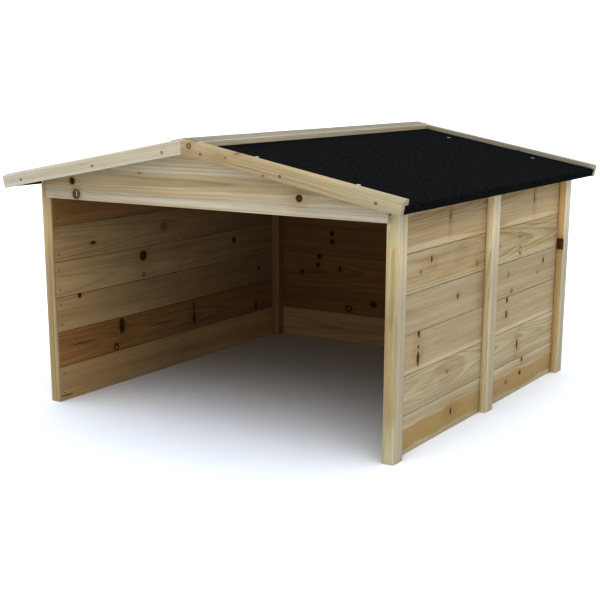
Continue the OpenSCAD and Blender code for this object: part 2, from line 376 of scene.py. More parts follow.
def linear(red, green, blue):
    """A display colour, 0 to 255, as the linear colour that a shader takes."""
    parts = (red / 255, green / 255, blue / 255)
    return tuple(v / 12.92 if v <= 0.04045 else ((v + 0.055) / 1.055) ** 2.4 for v in parts) + (1.0,)


def tones(light, dark):
    return linear(*light), linear(*dark)


# light and dark tone of each kind of board
PALE = tones((192, 183, 163), (164, 149, 122))
CREAM = tones((198, 191, 173), (174, 161, 136))
WARM = tones((188, 174, 145), (156, 134, 102))
PINK = tones((186, 173, 150), (160, 140, 114))
RED = tones((178, 162, 132), (144, 122, 92))
GREY = tones((157, 154, 147), (135, 129, 117))
BROWN = tones((199, 171, 132), (169, 139, 100))
GABLE = tones((202, 192, 171), (172, 157, 129))
SIDE_A = tones((193, 180, 153), (161, 140, 108))
SIDE_B = tones((190, 179, 154), (163, 147, 117))
SIDE_C = tones((185, 174, 152), (161, 146, 120))
SIDE_D = tones((191, 183, 163), (166, 152, 126))
TRIM_A = tones((195, 193, 185), (176, 168, 153))
TRIM_B = tones((185, 181, 167), (159, 150, 129))
TRIM_C = tones((180, 169, 146), (154, 140, 112))
TRIM_D = tones((190, 186, 175), (168, 158, 138))
TRIM_E = tones((187, 182, 169), (165, 155, 134))
HONEY = linear(175, 152, 107)

# ring in mm, taper and contrast of the grain
WALL_TAPER = 0.028
GRAIN = {
    "post": (2.6, 0.004, 0.50),
    "batten": (2.4, 0.004, 0.45),
    "rail": (2.4, 0.006, 0.45),
    "gable": (5.2, 0.010, 0.35),
    "deck": (2.6, 0.010, 0.60),
    "rafter": (2.4, 0.006, 0.50),
    "ridge": (3.4, 0.006, 0.40),
    "barge": (4.2, 0.006, 0.32),
}
# the first seed of each kind of piece
SEED = {"left": 11, "right": 111, "rear": 211, "post": 301, "rear_post": 320, "batten": 330,
        "rail": 340, "gable": 401, "deck": 500, "rafter": 540, "ridge": 550, "barge": 601, "felt": 700}
NO_HEART = (9000, 9100)
ALONG, ACROSS, DEPTH = 0, 1, 2
SURFACE = 0.9


def wood(name, tone, seed, pith, grain, marks=(), zones=(), heart=NO_HEART):
    """A board's own material. pith is the log's centre across and into the board; marks are (along,
    across, half length, half height, kind); zones are (axis, place, reach, gain), and the wood near
    that place on the lane's axis takes the gain; heart is the lower and upper edge of a band of
    heartwood. All in mm."""
    mat, n, bsdf = new_material(name)
    lane = n.attribute("lane", "Vector")
    sums = dict.fromkeys(FLOWS, 0.0)
    for along, across, half_l, half_a, kind in marks:
        out = n.call(KNOT, Lane=lane, Centre=(along * MM, across * MM, 0.0),
                     Size=(half_l * MM, half_a * MM, 1.0), **dict(zip(LOOKS, MARKS[kind])), **sums)
        sums = {key: out[key] for key in FLOWS}
    ring, taper, contrast = grain
    set_up = {"Pith across": pith[0] * MM, "Pith depth": pith[1] * MM,
              "Heart low": heart[0] * MM, "Heart high": heart[1] * MM}
    out = n.call(TIMBER, Lane=lane, Seed=float(seed), Ring=ring * MM, Taper=taper, Contrast=contrast,
                 Light=tone[0], Dark=tone[1], Heart=HONEY, End=n.attribute("end", "Fac"),
                 **set_up, **sums)
    colour = out["Color"]
    for axis, place, reach, gain in zones:
        away = n.math("ABSOLUTE", n.minus(n.split(lane)[axis], place * MM))
        near = n.step(away, reach / 3 * MM, reach * MM, 1.0, 0.0)
        colour = n.mix(near, colour, n.vec("MULTIPLY", colour, gain))
    n.put(bsdf.inputs["Base Color"], colour)
    n.put(bsdf.inputs["Roughness"], out["Roughness"])
    bsdf.inputs["Specular IOR Level"].default_value = 0.32
    n.bump(bsdf, out["Height"], 0.45, 0.6 * MM)
    return mat


# -------- mesh helpers
def eased(corners, steps=3):
    """A closed outline from (across, depth, radius) corners, with each corner rounded by its radius."""
    points = []
    count = len(corners)
    for k, (x, y, radius) in enumerate(corners):
        p = np.array((x, y))
        if radius <= 0:
            points.append(p)
            continue
        before = np.array(corners[k - 1][:2]) - p
        after = np.array(corners[(k + 1) % count][:2]) - p
        before, after = before / np.linalg.norm(before), after / np.linalg.norm(after)
        half = math.acos(max(-1.0, min(1.0, float(before @ after)))) / 2
        reach = radius / math.tan(half)
        a, b = p + before * reach, p + after * reach
        for s in np.linspace(0, 1, steps + 1):
            points.append(a * (1 - s) ** 2 + p * 2 * s * (1 - s) + b * s * s)
    return np.array(points)


def rect(a0, a1, d0, d1, r=1 * MM):
    """The outline of a square-edged stick, between two places across and two depths."""
    return eased([(a0, d0, r), (a1, d0, r), (a1, d1, r), (a0, d1, r)])


def shrunk(outline, by):
    """The outline moved inwards by a small distance."""
    edge = np.roll(outline, -1, axis=0) - outline
    edge /= np.maximum(np.linalg.norm(edge, axis=1, keepdims=True), 1e-12)
    area = np.sum(outline[:, 0] * np.roll(outline[:, 1], -1) - outline[:, 1] * np.roll(outline[:, 0], -1))
    turn = 1.0 if area > 0 else -1.0
    normal = np.stack([-edge[:, 1], edge[:, 0]], axis=1) * turn
    mean = normal + np.roll(normal, 1, axis=0)
    length = np.maximum(np.linalg.norm(mean, axis=1, keepdims=True), 0.6)
    return outline + mean / length * by


def tube(rings, points):
    """Faces of a closed tube: quads between its rings, and one face over each end."""
    faces = []
    for k in range(rings - 1):
        for j in range(points):
            a, b = k * points + j, k * points + (j + 1) % points
            faces.append((a, b, b + points, a + points))
    faces.append(tuple(range(points)))
    faces.append(tuple(range((rings - 1) * points, rings * points)))
    return faces


def make_object(name, verts, faces, mat, node, lane=None, end=None, sharp=25.0):
    """A finished piece inside a CAD node's box, that stands for the node and rides on the body. lane is
    each point's place in its board, along, across and into it, and end is how far it is end grain, or, at
    the gable's left end, painted shadow."""
    mesh = bpy.data.meshes.new(name)
    mesh.from_pydata(np.clip(np.array(verts, float), *box(node)).tolist(), [], faces)
    layers = (("lane", "FLOAT_VECTOR", "vector", lane), ("end", "FLOAT", "value", end))
    for key, kind, field, values in layers:
        if values is not None:
            layer = mesh.attributes.new(key, kind, "POINT")
            layer.data.foreach_set(field, np.asarray(values, np.float32).ravel())
    bm = bmesh.new()
    bm.from_mesh(mesh)
    bmesh.ops.recalc_face_normals(bm, faces=bm.faces)
    bm.to_mesh(mesh)
    bm.free()
    mesh.polygons.foreach_set("use_smooth", [True] * len(mesh.polygons))
    mesh.set_sharp_from_angle(angle=math.radians(sharp))
    mesh.materials.append(mat)
    obj = bpy.data.objects.new(name, mesh)
    SCENE.collection.objects.link(obj)
    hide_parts(node)
    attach(obj, BODY)
    return obj


def wander(rng, length, size):
    """A gentle bend along a board: a function of the distance along it, in metres."""
    waves = [(rng.uniform(0.5, 1.0) * size / k, rng.uniform(0, 2 * math.pi), k) for k in (1, 2, 4)]
    return lambda s: sum(a * np.sin(2 * math.pi * k * s / length * 0.8 + ph) for a, ph, k in waves)


RING_STEP = 14 * MM


def stick(node, outline, origin, axes, stop, mat, seed, start=0.0, ease=0.45 * MM, bend=0.10 * MM,
          suffix="timber", end_shade=1.0):
    """A straight piece of timber: an outline across and into it, run along it from start to stop.
    start and stop are numbers, or functions of (across, depth) where the end is cut at an angle."""
    rng = random.Random(seed)
    axes = np.array(axes, float)
    first = start if callable(start) else lambda a, d: start + 0 * a
    last = stop if callable(stop) else lambda a, d: stop + 0 * a
    small = shrunk(outline, ease)
    length = float(np.mean(last(outline[:, 0], outline[:, 1]) - first(outline[:, 0], outline[:, 1])))
    count = max(2, int(length / RING_STEP))
    bend_a, bend_d = wander(rng, length, bend), wander(rng, length, bend)
    shares = [0.0, ease / length, *np.linspace(0, 1, count + 1)[1:-1], 1 - ease / length, 1.0]
    rings = []
    for share in shares:
        a, d = (small if share in (0.0, 1.0) else outline).T
        l0, l1 = first(a, d), last(a, d)
        rings.append(np.stack([l0 + (l1 - l0) * share, a, d], axis=1))
    lane = np.concatenate(rings)
    place = lane.copy()
    place[:, 1] += bend_a(lane[:, 0])
    place[:, 2] += bend_d(lane[:, 0])
    end = np.zeros(len(lane))
    end[:len(outline)] = end_shade
    end[-len(outline):] = end_shade
    make_object(f"{node}_{suffix}", origin + place @ axes, tube(len(rings), len(outline)), mat, node,
                lane, end)


# -------- walls
BOARD_EASE = 0.75 * MM
TIP_EASE = 0.5 * MM

# one row for each board from the bottom up: tone, pith, ring, contrast and marks
WALLS = {
    "left": [
        (SIDE_C, (-40, 70), 3.2, 0.40, [(14, 10, 26, 1.4, "split"), (420, 30, 30, 5, "blush")]),
        (RED, (30, 55), 3.4, 0.45, [(192, 52, 8, 15, "knot"), (172, 10, 7, 8, "eyed"),
            (172, 8, 1.8, 3.6, "slit"), (443, 26, 5, 12, "knot"), (443, 50, 3, 16, "spike"),
            (695, 16, 5, 14, "spike"), (70, 38, 48, 1.2, "split"), (330, 34, 60, 1.1, "split"),
            (443, 38, 14, 34, "blush"), (192, 40, 16, 34, "blush")]),
        (SIDE_C, (90, 60), 3.2, 0.45, [(66, 66, 4, 5, "knot"), (708, 35, 3.5, 5, "knot"),
            (300, 62, 18, 4, "blush")]),
        (SIDE_D, (20, 50), 3.6, 0.50, [(269, 51, 10, 10, "knot"), (268, 10, 6, 6, "faint"),
            (604, 47, 6, 6, "knot"), (269, 40, 20, 30, "blush")]),
        (SIDE_C, (34, 42), 4.2, 0.55, [(112, 27, 8, 2.8, "knot"), (342, 36, 12, 8, "faint")]),
        (SIDE_B, (-30, 60), 3.2, 0.40, [(520, 26, 7, 6, "faint")]),
    ],
    "right": [
        (SIDE_D, (36, 38), 3.6, 0.45, [(248, 34, 4, 8, "spike"), (592, 64, 5, 6, "spike"),
            (585, 37, 5, 4, "knot"), (511, 32, 6, 4, "faint"), (250, 38, 26, 14, "blush")]),
        (SIDE_D, (44, 30), 3.8, 0.66, [(227, 44, 6, 4, "faint"), (222, 44, 26, 15, "swirl"),
            (150, 30, 20, 9, "swirl"), (561, 31, 4.5, 13, "spike"), (575, 64, 14, 4, "blush"),
            (561, 31, 14, 22, "blush")]),
        (SIDE_C, (110, 60), 3.4, 0.35, [(108, 66, 5.5, 8, "spike"), (107, 43, 2.6, 2.6, "knot"),
            (107, 22, 6, 15, "spike"), (498, 64, 4, 5, "knot"), (497, 35, 5, 9, "spike"),
            (108, 40, 16, 34, "blush"), (400, 5, 430, 6, "sapwood")]),
        (SIDE_C, (-50, 60), 3.4, 0.32, [(263, 38, 4, 6, "spike"), (687, 50, 4.5, 7, "spike"),
            (499, 46, 4, 4, "faint"), (658, 28, 5, 3, "faint"), (520, 9, 5, 4, "faint"),
            (372, 40, 16, 40, "blush")]),
        (SIDE_B, (40, 34), 4.0, 0.64, [(285, 44, 42, 15, "swirl"), (150, 50, 3.5, 7, "spike"),
            (109, 33, 5, 3, "faint"), (345, 18, 7, 6, "faint"), (551, 47, 4.5, 5, "faint"),
            (551, 49, 2.4, 2.6, "slit"), (555, 16, 5, 7, "eyed"), (555, 17, 3.6, 4.8, "slit"),
            (165, 46, 50, 9, "blush"), (350, 22, 22, 20, "blush")]),
        (SIDE_A, (80, 60), 3.2, 0.45, [(221, 50, 2.2, 12, "spike"), (620, 46, 2.2, 15, "spike"),
            (221, 44, 7, 30, "blush"), (620, 44, 9, 34, "blush"), (150, 6, 200, 7, "sapwood"),
            (600, 6, 150, 7, "sapwood")]),
    ],
    "rear": [
        (SIDE_D, (36, 34), 4.4, 0.55, [(420, 30, 14, 8, "blush")]),
        (RED, (90, 60), 3.4, 0.45, [(211, 14, 9, 8, "eyed"), (211, 14, 3, 3, "slit"),
            (279, 30, 8, 7, "knot"), (560, 44, 7, 7, "knot")]),
        (SIDE_A, (30, 50), 3.2, 0.45, [(126, 65, 6, 5, "knot"), (122, 44, 5, 5, "knot"),
            (184, 37, 4, 9, "spike"), (76, 23, 5, 4, "knot")]),
        (SIDE_C, (-30, 60), 3.2, 0.40, [(162, 53, 6, 6, "knot"), (162, 33, 6, 6, "knot")]),
        (SIDE_B, (40, 44), 3.8, 0.50, [(300, 30, 8, 7, "faint"), (610, 44, 6, 6, "knot")]),
        (SIDE_D, (100, 70), 3.2, 0.40, [(210, 30, 6, 6, "faint")]),
    ],
}
# the faces inside take a gain for each board, partly a browner wood tone and partly painted light and
# shade: darker on the rear wall's upper boards and the top left board, where shade falls inside, and
# lighter on the lower left boards
INSIDE_TONE_LIGHT_AND_SHADE = {
    "left": [(1.22, 1.12, 0.98), (1.12, 0.96, 0.75), *[(1.24, 1.14, 1.00)] * 3, (0.98, 0.77, 0.56)],
    "right": [(1.14, 1.04, 0.92)] * BOARDS,
    "rear": [(1.14, 0.96, 0.76), (0.94, 0.73, 0.50), (0.83, 0.60, 0.39), (0.90, 0.64, 0.39),
             (0.90, 0.66, 0.42), (0.90, 0.66, 0.42)],
}
# painted light: the far end of the lowest left board, inside, is lightened to stand in for light falling
# there
PAINTED_LIGHT_REACH = {"left_wall_board_1": (ALONG, 700, 340, (1.36, 1.36, 1.28))}
HEARTWOOD = {"right_wall_board_1": (10, 47)}
SEED_STEP = 7


def board_outline(thick, groove, tongue):
    """Tongued and grooved section: across is up the board, depth is through it."""
    mid = thick / 2
    foot = JOINT_GAP if groove else 0.0
    top = BOARD_H - (JOINT_GAP if tongue else 0.0)
    corners = [(foot, thick, BOARD_EASE)]
    if groove:
        corners += [(foot, mid + GROOVE_HALF, 0), (GROOVE_DEEP, mid + GROOVE_HALF, 0),
                    (GROOVE_DEEP, mid - GROOVE_HALF, 0), (foot, mid - GROOVE_HALF, 0)]
    corners += [(foot, 0, BOARD_EASE), (top, 0, BOARD_EASE)]
    if tongue:
        tip = BOARD_H + TONGUE_LONG
        corners += [(top, mid - TONGUE_HALF, 0), (tip, mid - TONGUE_HALF, TIP_EASE),
                    (tip, mid + TONGUE_HALF, TIP_EASE), (top, mid + TONGUE_HALF, 0)]
    corners += [(top, thick, BOARD_EASE)]
    return eased(corners)


def make_walls():
    for side, rows in WALLS.items():
        for i, (tone, pith, ring, contrast, marks) in enumerate(rows):
            node = f"{side}_wall_board_{i + 1}"
            lo, hi = box(node)
            seed = SEED[side] + SEED_STEP * i
            run, through = (0, 1) if side == "rear" else (1, 0)
            length, thick = hi[run] - lo[run], hi[through] - lo[through]
            # the inside face takes its gain, partly painted light and shade
            zones = [(DEPTH, thick / MM if side == "left" else 0.0, SURFACE, INSIDE_TONE_LIGHT_AND_SHADE[side][i])]
            if node in PAINTED_LIGHT_REACH:
                zones.append(PAINTED_LIGHT_REACH[node])
            mat = wood(node, tone, seed, pith, (ring, WALL_TAPER, contrast), marks, zones,
                       HEARTWOOD.get(node, NO_HEART))
            outline = board_outline(thick, i > 0, i < BOARDS - 1)
            axes = (X, Z, Y) if side == "rear" else (Y, Z, X)
            stick(node, outline, lo, axes, length, mat, seed)


make_walls()


# -------- posts, battens and rails
# tone, pith, gain of the front face, and marks of each side post; the front-face gain is painted light and
# shade, lightening or darkening that face to stand in for how it is lit
POSTS = {
    "right_front_post": (TRIM_D, (-30, 10), (1.01, 1.02, 0.88), [
        (205, 0, 44, 4, "stain"), (262, 0, 24, 4, "blush"), (120, 0, 40, 4, "stain"),
        (330, 0, 34, 4, "blush")]),
    "right_middle_post": (TRIM_E, (60, 30), (1.32, 1.27, 1.12), []),
    "right_rear_post": (TRIM_B, (50, 40), (1.25, 1.07, 0.86), [(286, 0, 11, 3.2, "knot")]),
    "left_front_post": (PALE, (60, -20), (0.84, 0.81, 0.73), []),
    "left_middle_post": (PALE, (-40, 30), (1.0, 0.95, 0.88), [(180, 20, 8, 6, "knot")]),
    "left_rear_post": (PINK, (50, 30), (1.0, 0.95, 0.88), []),
}
# the corner of a corner post's bar that is left square against its lip, so that the faces run on
SQUARE = {"right_front_post": 0, "right_rear_post": 1, "left_rear_post": 2, "left_front_post": 3}
# painted light: the tops of the posts, where the eaves cast shade, are lightened
UNDER_EAVES_LIGHT = (ALONG, 450, 200, (1.30, 1.30, 1.28))
POST_EASE = 1.2 * MM


def make_posts():
    """Side posts. A corner post is an outer bar and a lip that covers the ends of the side boards."""
    lo, hi = box("right_middle_post")
    bar_t = hi[0] - lo[0]
    lip_d = WALL_LO[1] - box("right_front_post")[0][1]
    for k, (node, (tone, pith, gain, marks)) in enumerate(POSTS.items()):
        lo, hi = box(node)
        seed = SEED["post"] + k
        origin = (lo[0], lo[1], 0.0)
        # the front face's gain and the zone under the eaves are painted light and shade
        mat = wood(node, tone, seed, pith, GRAIN["post"], marks,
                   [(ACROSS, 0.0, SURFACE, gain), UNDER_EAVES_LIGHT])
        width, thick = hi[1] - lo[1], hi[0] - lo[0]
        left, front = node.startswith("left"), "front" in node
        d0, d1 = (0.0, bar_t) if left else (thick - bar_t, thick)
        radii = [0.0 if q == SQUARE.get(node) else POST_EASE for q in range(4)]
        if node in SQUARE:
            a0, a1 = (0.0, lip_d) if front else (width - lip_d, width)
            e0, e1 = (bar_t, thick) if left else (0.0, thick - bar_t)
            free = (a0 if front else a1, e1 if left else e0)
            corners = ((a0, e0), (a1, e0), (a1, e1), (a0, e1))
            lip = eased([(*at, POST_EASE if at == free else 0.0) for at in corners])
            stick(node, lip, origin, (Z, Y, X), WALL_H, mat, seed, bend=0.0, suffix="lip", ease=0.3 * MM)
        bar = eased([(0, d0, radii[0]), (width, d0, radii[1]), (width, d1, radii[2]), (0, d1, radii[3])])
        stop = (lambda a, d, lo=lo: roof_z(np.abs(lo[0] + d), RAFTER_N))
        stick(node, bar, origin, (Z, Y, X), stop, mat, seed, bend=0.0)


def make_rear_post():
    node = "rear_middle_post"
    lo, hi = box(node)
    mat = wood(node, PALE, SEED["rear_post"], (50, 40), GRAIN["post"])
    # a point halfway lets the top follow both slopes of the roof
    half, thick, e = (hi[0] - lo[0]) / 2, hi[1] - lo[1], POST_EASE
    outline = eased([(0, 0, e), (half, 0, 0), (2 * half, 0, e), (2 * half, thick, e), (half, thick, 0),
                     (0, thick, e)])
    stick(node, outline, (lo[0], lo[1], 0.0), (Z, X, Y), lambda a, d: roof_z(np.abs(lo[0] + a), RAFTER_N),
          mat, SEED["rear_post"])


def make_battens_and_rails():
    for k, side in enumerate(("left", "right")):
        node = f"{side}_corner_batten"
        lo, hi = box(node)
        mat = wood(node, BROWN, SEED["batten"] + k, (50, 30), GRAIN["batten"])
        stick(node, rect(0, hi[0] - lo[0], 0, hi[1] - lo[1]), (lo[0], lo[1], 0.0), (Z, X, Y), hi[2], mat,
              SEED["batten"] + k)
        node = f"{side}_eaves_rail"
        lo, hi = box(node)
        mat = wood(node, WARM, SEED["rail"] + k, (40, 50), GRAIN["rail"])
        low_x, high_x = (roof_z(abs(x), RAFTER_N) - lo[2] for x in (lo[0], hi[0]))
        width = hi[0] - lo[0]
        outline = eased([(0, 0, MM), (width, 0, MM), (width, high_x, MM), (0, low_x, MM)])
        stick(node, outline, lo, (Y, X, Z), hi[1] - lo[1], mat, SEED["rail"] + k)


make_posts()
make_rear_post()
make_battens_and_rails()


# -------- gable boards
GABLES = {
    "front_gable_board": [
        (71, 35, 6, 6, "knot"), (80, 11, 9, 9, "eyed"), (81, 12, 1.2, 7, "slit"),
        (575, 31, 6, 6, "knot"), (575, 31, 16, 14, "blush"), (234, 57, 4, 1.5, "faint"),
        # the "edge" mark is a painted shadow line down the left end
        (330, 48, 120, 2, "blush"), (0.2, 35, 0.9, 60, "edge")],
    "rear_gable_board": [(230, 40, 7, 7, "knot"), (520, 24, 9, 6, "faint")],
}
# painted light: the right end face, shaded under the barge, is lightened
GABLE_END_LIGHT = (1.02, 1.08, 1.14)
# painted light: the upper middle of the gable, where the roof's overhang casts shade, is lightened
GABLE_TOP_LIGHT = (ACROSS, 105, 75, (1.30, 1.38, 1.54))
GABLE_FOOT = (ACROSS, 3, 26, (1.00, 1.06, 1.17))
GABLE_EASE = 0.9 * MM
# painted shadow: the first columns at the left end are darkened, as the shadow beside the post
GABLE_END_SHADOW = 0.8
COLUMNS = 60


def make_gables():
    """Gable boards, cut into columns along their length, so that both faces keep a clean grid."""
    for k, (node, marks) in enumerate(GABLES.items()):
        lo, hi = box(node)
        half, thick, low = hi[0], hi[1] - lo[1], lo[2]
        # the end zone and the top zone are painted light
        zones = [(ALONG, 2 * half / MM, SURFACE, GABLE_END_LIGHT), GABLE_TOP_LIGHT, GABLE_FOOT]
        mat = wood(node, GABLE, SEED["gable"] + k, (44, 22), GRAIN["gable"], marks, zones)
        r = GABLE_EASE
        bevel = r * 0.3
        inside = np.linspace(-half, half, COLUMNS + 1)[1:-1]
        columns = [-half, r - half, 1.8 * r - half, *inside, half - 1.8 * r, half - r, half]
        verts, lane = [], []
        for x in columns:
            roof = roof_z(abs(x), RAFTER_N)
            inset = r if abs(x) == half else 0.0
            back = thick - inset
            ring = [(low + r, inset), (low + bevel, bevel + inset), (low, r),
                    (low, thick - r), (low + bevel, back - bevel), (low + r, back),
                    (roof - r, back), (roof - bevel, back - bevel), (roof, thick - r),
                    (roof, r), (roof - bevel, bevel + inset), (roof - r, inset)]
            verts += [(x, lo[1] + d, z) for z, d in ring]
            lane += [(x + half, z - low, d) for z, d in ring]
        end = np.zeros(len(verts))
        end[:2 * len(ring)] = GABLE_END_SHADOW
        make_object(f"{node}_timber", verts, tube(len(columns), len(ring)), mat, node, lane, end)


make_gables()


# -------- roof timber
DECK_TONES = (PALE, CREAM, WARM)
DECK_EASE = 0.8 * MM
# painted light: the ridge boards' edge above the felt is lightened, as if lit from the side
RIDGE_EDGE_LIGHT = (ACROSS, RIDGE_U / MM, SURFACE, (2.22, 2.15, 1.93))


def make_roof_board(s, side, i, down, into):
    node = f"{side}_roof_board_{i + 1}"
    lo, hi = box(node)
    seed = SEED["deck"] + 10 * s + i
    u0, u1 = DECK_U / BOARDS * i, DECK_U / BOARDS * (i + 1)
    # the first board is cut upright where the two halves of the roof meet
    top, low = (DECK_N * TN, RAFTER_N * TN) if i == 0 else (u0, u0)
    r = DECK_EASE
    outline = eased([(top, DECK_N, r), (u1, DECK_N, r), (u1, RAFTER_N, r), (low, RAFTER_N, r)])
    rng = random.Random(seed)
    marks = [(rng.uniform(60, 820), u0 / MM + rng.uniform(14, 58), rng.uniform(4, 8), rng.uniform(4, 7),
              rng.choice(("knot", "faint", "knot"))) for _ in range(3)]
    mat = wood(node, DECK_TONES[(i + s) % 3], seed, (u0 / MM + 30, 70), GRAIN["deck"], marks)
    stick(node, outline, (0, lo[1], PEAK_Z), (Y, down, into), hi[1] - lo[1], mat, seed)


def make_rafter(seed, node, down, into):
    lo, hi = box(node)
    mat = wood(node, WARM, seed, (50, 50), GRAIN["rafter"])
    reach = max(abs(lo[0]), abs(hi[0]))
    outline = rect(0, hi[1] - lo[1], RAFTER_N, RAFTER_LOW_N)
    stick(node, outline, (0, lo[1], PEAK_Z), (down, Y, into), lambda a, d: (reach + d * SN) / CS, mat, seed,
          start=lambda a, d: d * TN)


def make_ridge_board(seed, node, down, into):
    lo, hi = box(node)
    # the edge zone is painted light
    mat = wood(node, GREY, seed, (15, 90), GRAIN["ridge"], zones=[RIDGE_EDGE_LIGHT])
    outline = eased([(RIDGE_TOP_N * TN, RIDGE_TOP_N, 0.4 * MM), (RIDGE_U, RIDGE_TOP_N, 1.0 * MM),
                     (RIDGE_U, FELT_N, 0.6 * MM), (FELT_N * TN, FELT_N, 0.4 * MM)])
    stick(node, outline, (0, lo[1], PEAK_Z), (Y, down, into), hi[1] - lo[1], mat, seed, bend=0.06 * MM,
          end_shade=0.0)


def make_roof_timber():
    for s, side in enumerate(("left", "right")):
        axes = slope_axes(side)
        for i in range(BOARDS):
            make_roof_board(s, side, i, *axes)
        for k, end in enumerate(("front", "rear")):
            make_rafter(SEED["rafter"] + 2 * s + k, f"{side}_{end}_rafter", *axes)
        make_ridge_board(SEED["ridge"] + s, f"{side}_ridge_board", *axes)


make_roof_timber()


# -------- barge boards
BARGES = {
    "left_front": (TRIM_A, []),
    "right_front": (TRIM_C, [
        (19, 8, 4.5, 4.5, "ring"), (114, 1.5, 7, 3, "blush"), (112, 1.0, 2.6, 1.4, "ring"),
        (96, 11, 2.6, 2.2, "faint"), (76, 14, 8, 3, "blush"), (86, 12, 12, 4, "blush"),
        (175, 23, 2.4, 1.8, "faint")]),
    "left_rear": (TRIM_B, [(150, 14, 6, 6, "knot")]),
    "right_rear": (TRIM_B, [(260, 12, 5, 5, "faint")]),
}
PALE_ENDS = {"right_front": [(ALONG, 440, 170, (1.04, 1.11, 1.20))]}
BARGE_INSET = 0.25 * MM
BARGE_EASE = 1.1 * MM
BARGE_END_EASE = 0.5 * MM
BARGE_SWAY = 0.12 * MM
BARGE_END_SHADE = 0.25


def barge_section():
    """Section of a barge board, with its depth inwards from the outer face: the outline, and which
    of its points are on the lip that covers the felt's edge."""
    r = BARGE_EASE
    leg = eased([(0, BARGE_INSET, r), (BARGE_H, BARGE_INSET, r), (BARGE_H, BARGE_LEG, r)])
    # only the lip's two inner corners are wanted
    lip = eased([(0, 0, 0), (FELT_N, BARGE_LEG, 0), (FELT_N, BARGE_DEPTH, r), (0, BARGE_DEPTH, r)])[2:]
    outline = np.concatenate([leg, [(FELT_N, BARGE_LEG)], lip, [(0.0, BARGE_LEG)]])
    on_lip = np.zeros(len(outline), bool)
    on_lip[len(leg) + 1:-1] = True
    return outline, on_lip


def make_barges():
    """Barge boards, mitred at the peak. Their lip stops at the ridge boards, which run through."""
    section, on_lip = barge_section()
    every = list(range(len(section)))
    leg_only = [j for j in every if not on_lip[j]]
    small = shrunk(section, BARGE_END_EASE)
    stations = [0.0, BARGE_END_EASE, 12 * MM, 22 * MM, RIDGE_U,
                *np.linspace(RIDGE_U + 12 * MM, ROOF_U - 12 * MM, 34), ROOF_U - BARGE_END_EASE, ROOF_U]
    for k, (name, (tone, marks)) in enumerate(BARGES.items()):
        node = f"{name}_barge_board"
        side, end = name.split("_")
        lo, hi = box(node)
        down, into = slope_axes(side)
        outer, inward = (lo[1], 1.0) if end == "front" else (hi[1], -1.0)
        seed = SEED["barge"] + k
        mat = wood(node, tone, seed, (50, 30), GRAIN["barge"], marks, PALE_ENDS.get(name, []))
        sway = wander(random.Random(seed), ROOF_U, BARGE_SWAY)
        verts, lane, index = [], [], []
        for u in stations:
            row = {}
            for j in (leg_only if u < RIDGE_U else every):
                a, d = (small if u in (0.0, ROOF_U) else section)[j]
                along = a * TN + u if u < RIDGE_U else u
                inset = 0.0 if on_lip[j] else abs(float(sway(u)))
                row[j] = len(verts)
                lane.append((along, a, d))
                verts.append(np.array((0, outer + (d + inset) * inward, PEAK_Z)) + along * down + a * into)
            index.append(row)
        faces = []
        for here, there in zip(index, index[1:]):
            order = list(here)
            for a, b in zip(order, order[1:] + order[:1]):
                faces.append((here[a], here[b], there[b], there[a]))
        faces.append(tuple(index[0].values()))
        faces.append(tuple(index[-1].values()))
        # the lip's end against the ridge board
        first_lip = on_lip.argmax()
        cap = [first_lip - 1, *np.flatnonzero(on_lip), every[-1]]
        faces.append(tuple(index[stations.index(RIDGE_U)][j] for j in cap))
        ends = np.zeros(len(verts))
        ends[list(index[-1].values())] = BARGE_END_SHADE
        make_object(f"{node}_timber", verts, faces, mat, node, lane, ends)


make_barges()


# -------- roofing felt
GRAIN_CELLS = 720.0
BITUMEN = (0.0075, 0.0082, 0.0091, 1.0)
SLATE = (0.0395, 0.0415, 0.0450, 1.0)
SPARKLE = (0.11, 0.115, 0.125, 1.0)
FELT_STEP = 4.4 * MM
FELT_FOLD = 4 * MM
FELT_ROUGH = 0.10 * MM
FELT_WAVE = 0.22 * MM
FELT_SINK = 0.30 * MM
FELT_CELLS = (9, 6)
# the felt dips a little over each joint of the boards: how much, and how far from a board's middle
JOINT_DIP = 0.12 * MM
JOINT_FROM = 0.485


def felt_material():
    """Mineral felt: a near-black bitumen sheet covered in slate granules."""
    mat, n, bsdf = new_material("mineral_felt")
    lane = n.attribute("lane", "Vector")
    grains = n.add("ShaderNodeTexVoronoi")
    n.put(grains.inputs["Vector"], lane)
    grains.inputs["Scale"].default_value = GRAIN_CELLS
    lot = n.split(grains.outputs["Color"])
    cloud = n.noise(lane, (95, 95, 95), 4.0, 0.8)
    fine = n.noise(lane, (330, 330, 330))
    tone = n.plus(n.math("MULTIPLY_ADD", lot[0], 0.55, 0.22), n.swing(fine, 2.4))
    tone = n.math("ADD", tone, n.swing(cloud, 2.4), clamp=True)
    base = n.mix(tone, BITUMEN, SLATE)
    base = n.mix(n.times(n.step(lot[1], 0.960, 0.985), 0.60), base, SPARKLE)
    n.put(bsdf.inputs["Base Color"], base)
    n.put(bsdf.inputs["Roughness"], n.math("MULTIPLY_ADD", lot[2], 0.2, 0.8))
    bsdf.inputs["Specular IOR Level"].default_value = 0.04
    n.bump(bsdf, n.minus(n.times(fine, 0.6), grains.outputs["Distance"]), 0.8, 0.7 * MM)
    return mat


